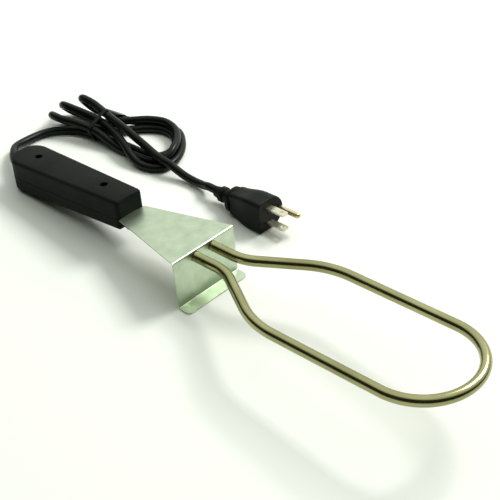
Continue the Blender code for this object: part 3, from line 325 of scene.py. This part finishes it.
# Each turn of the hank goes right along the near side, round the wide end and back to a fold.
TURN_ONE = [(-225, 73, 3.4), (-213, 76.5, 3.4), (-201, 78.8, 3.4), (-190, 81, 3.4), (-178, 83.4, 3.4),
            (-167, 84.4, 3.4), (-159, 85.4, 3.4), (-153, 88.2, 3.4), (-149.4, 93.5, 3.4),
            (-148.8, 100, 3.4), (-151.5, 108, 3.4), (-157.5, 115.4, 3.4), (-166, 120.6, 3.4),
            (-178, 120, 3.4), (-188.5, 113, 3.4), (-196, 103.4, 3.4), (-203, 94.4, 3.4), (-212, 87.5, 3.4),
            (-223, 82.3, 3.4), (-235, 78, 3.4), (-244.5, 74.6, 3.5)]
TURN_TWO = [(-250.5, 71.6, 5.0), (-253.6, 67.6, 8.6), (-251.4, 63.8, 12.0), (-245.5, 62.2, 13.6),
            (-238, 62.9, 14.0), (-229, 67.0, 13.2), (-217, 70.9, 12), (-205, 73.2, 10.4), (-193, 74.4, 6.6),
            (-181, 75.6, 3.8), (-168, 77.4, 3.4), (-156.5, 79.0, 3.4), (-148, 82.4, 3.4),
            (-143.2, 87.0, 3.7), (-142.6, 93, 7.0), (-144.6, 100, 8.9), (-151, 110.5, 9.4),
            (-163, 120.8, 9.6), (-177.5, 123.4, 9.6), (-190, 117.4, 9.4), (-199, 107.9, 9.2),
            (-207, 100.2, 8.2), (-215, 95.7, 4.8), (-225, 93, 3.4), (-237, 91.4, 3.4), (-248, 89.6, 3.5)]
TURN_THREE = [(-254.5, 86.8, 5), (-257.8, 83.0, 9.0), (-256.0, 79.4, 13.0), (-250.3, 77.6, 15.6),
              (-242.5, 78.0, 16.2), (-232, 79.8, 15.8), (-219, 81.8, 15.2), (-207, 82.3, 13.9),
              (-196, 81.2, 12.5), (-185, 78.6, 11.3), (-174, 75, 10.0), (-165, 72.0, 7.4),
              (-156, 71.2, 4.3), (-148, 72.4, 3.4), (-141, 76.2, 3.4), (-136.6, 82.6, 3.4),
              (-136.6, 91, 3.4), (-139.6, 101, 3.4), (-145.6, 110.6, 3.4), (-153.6, 119, 3.4),
              (-164, 126.2, 3.4), (-178, 128, 3.4), (-191, 123.4, 3.4), (-201, 114.4, 4.0),
              (-208, 107.5, 6.0), (-215.5, 102.6, 8.2), (-224, 99.4, 9.2), (-232, 97.4, 9.4)]
LAST_STRAND = [(-239.0, 96.9, 10.2), (-243.8, 95.6, 12.8), (-245.6, 93.0, 16.6), (-243.0, 90.6, 20.2),
               (-236.6, 89.8, 21.6), (-227, 90.2, 20.8), (-215, 88.8, 19.6), (-204, 87.2, 18.8),
               (-193, 86.2, 17.8),
               (-183, 85.4, 16.6), (-170, 84.4, 14.4), (-158, 83.8, 12.0), (-148, 82.4, 10.8),
               (-138, 81.4, 10.4), (-129.5, 81.6, 9.6), (-121, 82.4, 6.8), (-112.8, 83.4, 4.5),
               (-103, 84.0, 4.0), (-94, 83.6, 5.4)]


def cord_knots():
    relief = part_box("plug_strain_relief")
    middle = (relief[0] + relief[1]) / 2
    rear = Vector((relief[0].x, middle.y, relief[0].z + (relief[1].z - relief[0].z) * 0.46))
    listed = [Vector(p) * MM for p in TAIL + TURN_ONE + TURN_TWO + TURN_THREE + LAST_STRAND]
    start = Vector((CORD_EXIT.x, 0.0, (CORD_EXIT.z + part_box("cord_bushing")[1].z) / 2 - 0.0004))
    ahead = Vector((-0.9914, 0.0, -0.1305))
    plug_axis = Vector((-0.9975, 0.0, -0.071))
    arrival = [rear + plug_axis * 0.008, rear + plug_axis * 0.004, rear]
    return [start, start + ahead * 0.003] + listed + arrival


KNOTS = cord_knots()
ROUTE = smooth_route(KNOTS, 2.2 * MM)


def make_cord():
    data = bpy.data.curves.new("mains_cord", "CURVE")
    data.dimensions = "3D"
    data.bevel_depth = CORD / 2
    data.bevel_resolution = 6
    data.use_fill_caps = True
    line = data.splines.new("POLY")
    line.points.add(len(ROUTE) - 1)
    for point, place in zip(line.points, ROUTE):
        point.co = (*place, 1.0)
    line.use_smooth = True
    cord = add_object("mains_cord", data, CORD_BLACK)
    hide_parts("cord_tail", "cord_hank", "cord_lead")
    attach(cord, "root")
    return cord


cord = make_cord()


SLEEVE_LENGTH = 25 * MM
SLEEVE_START = 5.1 * MM                # radius at the handle
SLEEVE_END = 3.75 * MM                 # radius at the free end
SLEEVE_GROOVES = 6.0
GROOVE_SHARE = 0.32                    # groove's width as a share of the grooves' spacing
GROOVE_DEPTH = 0.55 * MM


def make_boot():
    """Moulded sleeve on the cord behind the handle, with shallow bending grooves."""
    step = 0.4 * MM
    count = round(SLEEVE_LENGTH / step)
    route = smooth_route(KNOTS[:12], step)[:count]
    radii = []
    for index in range(count):
        share = index / (count - 1)
        radius = SLEEVE_START + (SLEEVE_END - SLEEVE_START) * share
        wave = (share * SLEEVE_GROOVES) % 1.0
        if 0.12 < share < 0.86 and wave < GROOVE_SHARE:
            radius -= GROOVE_DEPTH * math.sin(math.pi * wave / GROOVE_SHARE)
        radii.append(radius)
    radii[-1] -= 0.35 * MM
    boot = add_object("cord_sleeve", rings_along(route, radii, 32), CORD_BLACK)
    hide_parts("cord_boot")
    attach(boot, "root")
    return boot


boot = make_boot()


# ---------------------------------------------------------------- heating element
TOOL_PITCH = math.radians(7.433)
TOOL_ORIGIN = Vector((-0.085847, 0.0, 0.027645))
PLATE_LENGTH = 73.8 * MM
SHEATH = 7.7 * MM
ELEMENT_DROP = 5.5 * MM
LEG_HALF_SPACING = 8.4 * MM
END_HALF_SPACING = 6.3 * MM
LEG_LENGTH = 28.7 * MM
FLARE_END = 80.3 * MM
LOOP_RADIUS = 39.4 * MM
LOOP_CENTRE = 181.6 * MM
FIRST_BEND = 36.0 * MM
SECOND_BEND = 63.2 * MM
LOOP_DROOP = math.radians(2.52)


def fillet(before, corner, after, radius, steps):
    """Points of the arc that rounds a corner of a flat path, ends included."""
    before, corner, after = Vector(before), Vector(corner), Vector(after)
    back = (before - corner).normalized()
    ahead = (after - corner).normalized()
    half = back.angle(ahead) / 2
    reach = radius / math.tan(half)
    centre = corner + (back + ahead).normalized() * (radius / math.sin(half))
    first = corner + back * reach - centre
    turn = first.angle_signed(corner + ahead * reach - centre)
    return [centre + Matrix.Rotation(-turn * i / steps, 2) @ first for i in range(steps + 1)]


def element_route():
    """The element's whole centreline, level behind the front plate and drooping past it."""
    bent, straight = 18 * MM, 46 * MM
    first = (PLATE_LENGTH + LEG_LENGTH, LEG_HALF_SPACING)
    second = (PLATE_LENGTH + FLARE_END, LOOP_RADIUS)
    centre = PLATE_LENGTH + LOOP_CENTRE
    half = [(4.5 * MM, END_HALF_SPACING), (bent, END_HALF_SPACING)]
    for step in range(1, 12):
        share = step / 12
        ease = share * share * (3 - 2 * share)
        half.append((bent + (straight - bent) * share,
                     END_HALF_SPACING + (LEG_HALF_SPACING - END_HALF_SPACING) * ease))
    half += [(straight, LEG_HALF_SPACING), (PLATE_LENGTH, LEG_HALF_SPACING)]
    half += [tuple(p) for p in fillet((PLATE_LENGTH, LEG_HALF_SPACING), first, second, FIRST_BEND, 16)]
    half += [tuple(p) for p in fillet(first, second, (centre, LOOP_RADIUS), SECOND_BEND, 16)]
    for step in range(29):
        angle = math.pi / 2 * (1 - step / 28)
        half.append((centre + LOOP_RADIUS * math.cos(angle), LOOP_RADIUS * math.sin(angle)))
    flat = half + [(x, -y) for x, y in reversed(half[:-1])]
    place = Matrix.Translation(TOOL_ORIGIN) @ Matrix.Rotation(-TOOL_PITCH, 4, "Y")
    drop = math.tan(LOOP_DROOP)
    return [place @ Vector((x, y, -ELEMENT_DROP - drop * max(0.0, x - PLATE_LENGTH))) for x, y in flat]


def make_sheath():
    """The element's tube, open at both ends where its seals go in."""
    route = element_route()
    sheath = add_object("element_sheath", rings_along(route, [SHEATH / 2] * len(route), 40, closed=False),
                        SHEATH_FINISH)
    wall = sheath.modifiers.new("wall", "SOLIDIFY")
    wall.thickness = 0.7 * MM
    wall.offset = -1
    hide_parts("heating_element")
    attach(sheath, "root")


make_sheath()


# ---------------------------------------------------------------- tie
def strand_crossings(x):
    """Where the cord crosses the plane at x, as y and z."""
    return [a.lerp(b, (x - a.x) / (b.x - a.x)) for a, b in zip(ROUTE, ROUTE[1:])
            if (a.x - x) * (b.x - x) < 0 and a.y > 0.05]


def outer_hull(points):
    """Convex outline of flat points, in order."""
    ordered = sorted(points)
    halves = []
    for chain in (ordered, ordered[::-1]):
        half = []
        for p in chain:
            while len(half) > 1 and ((half[-1][0] - half[-2][0]) * (p[1] - half[-2][1])
                                     - (half[-1][1] - half[-2][1]) * (p[0] - half[-2][0])) <= 0:
                half.pop()
            half.append(p)
        halves += half[:-1]
    return halves


TIE_WIDTH = 3.4 * MM
TIE_THICKNESS = 0.35 * MM
TIE_SLACK = 0.5 * MM


def make_tie():
    """A flat tie pulled round the strands where they are closest together."""
    x = (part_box("cord_tie")[0].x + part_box("cord_tie")[1].x) / 2
    rim = CORD / 2 + TIE_SLACK
    around = []
    for crossing in strand_crossings(x):
        for step in range(24):
            angle = 2 * math.pi * step / 24
            around.append((crossing.y + rim * math.cos(angle),
                           max(0.45 * MM, crossing.z + rim * math.sin(angle))))
    loop = [Vector((x, y, z)) for y, z in outer_hull(around)]
    bm = bmesh.new()
    centre = sum(loop, Vector()) / len(loop)
    rows = []
    for place in loop:
        out = (place - centre)
        out.x = 0
        out.normalize()
        rows.append([bm.verts.new(place + Vector((sx * TIE_WIDTH / 2, 0, 0)) + out * TIE_THICKNESS * st)
                     for sx, st in ((-1, 0), (-1, 1), (1, 1), (1, 0))])
    for low, high in zip(rows, rows[1:] + rows[:1]):
        for k in range(4):
            bm.faces.new((low[k], low[(k + 1) % 4], high[(k + 1) % 4], high[k]))
    bmesh.ops.recalc_face_normals(bm, faces=bm.faces)
    mesh = bpy.data.meshes.new("cord_tie_band")
    bm.to_mesh(mesh)
    bm.free()
    mesh.shade_smooth()
    mesh.set_sharp_from_angle(angle=math.radians(40))
    band = add_object("tie_band", mesh, CORD_BLACK)
    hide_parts("cord_tie")
    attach(band, "root")
    return band


tie = make_tie()


# ---------------------------------------------------------------- floor, light
def make_floor():
    bm = bmesh.new()
    bmesh.ops.create_grid(bm, x_segments=8, y_segments=8, size=4.0)
    mesh = bpy.data.meshes.new("floor")
    bm.to_mesh(mesh)
    bm.free()
    paper = Surface("floor_paper", (0.90, 0.92, 0.88), 0.75, specular=0.2)
    paper.colour(paper.blend(paper.noise(2.0, 2.0), (0.89, 0.91, 0.87), (0.92, 0.94, 0.90)))
    floor = add_object("floor", mesh, paper.material)
    floor.location.z = -0.0003


make_floor()


def area_light(name, place, aim, size, power, colour):
    data = bpy.data.lights.new(name, "AREA")
    data.shape = "RECTANGLE"
    data.size, data.size_y = size
    data.energy = power
    data.color = colour
    lamp = bpy.data.objects.new(name, data)
    bpy.context.scene.collection.objects.link(lamp)
    lamp.location = place
    lamp.rotation_euler = (Vector(aim) - Vector(place)).to_track_quat("-Z", "Y").to_euler()


area_light("key", (0.10, 1.15, 1.25), (0.0, 0.05, 0.0), (0.60, 0.60), 21.0, (1.0, 1.0, 0.96))


BRIGHT_SIDE = (-0.22, 0.50, 0.84)      # direction of the brightest part of the ceiling


def make_surroundings():
    """A bright ceiling and a dark room in front, so that round metal shows a dark line."""
    world = bpy.data.worlds.new("studio")
    bpy.context.scene.world = world
    world.use_nodes = True
    tree = world.node_tree
    place = tree.nodes.new("ShaderNodeTexCoord")
    lean = tree.nodes.new("ShaderNodeVectorMath")
    lean.operation = "DOT_PRODUCT"
    lean.inputs[1].default_value = BRIGHT_SIDE
    tree.links.new(place.outputs["Generated"], lean.inputs[0])
    ramp = tree.nodes.new("ShaderNodeValToRGB")
    ramp.color_ramp.elements[0].position = 0.0
    ramp.color_ramp.elements[0].color = (0.022, 0.028, 0.018, 1.0)
    ramp.color_ramp.elements[1].position = 0.86
    ramp.color_ramp.elements[1].color = (0.97, 1.0, 0.95, 1.0)
    for position, colour in ((0.42, (0.03, 0.036, 0.024, 1.0)), (0.58, (0.62, 0.66, 0.58, 1.0))):
        ramp.color_ramp.elements.new(position).color = colour
    tree.links.new(lean.outputs["Value"], ramp.inputs["Fac"])
    background = tree.nodes["Background"]
    tree.links.new(ramp.outputs["Color"], background.inputs["Color"])
    background.inputs["Strength"].default_value = 1.22


make_surroundings()
bpy.context.scene.view_settings.view_transform = "Standard"
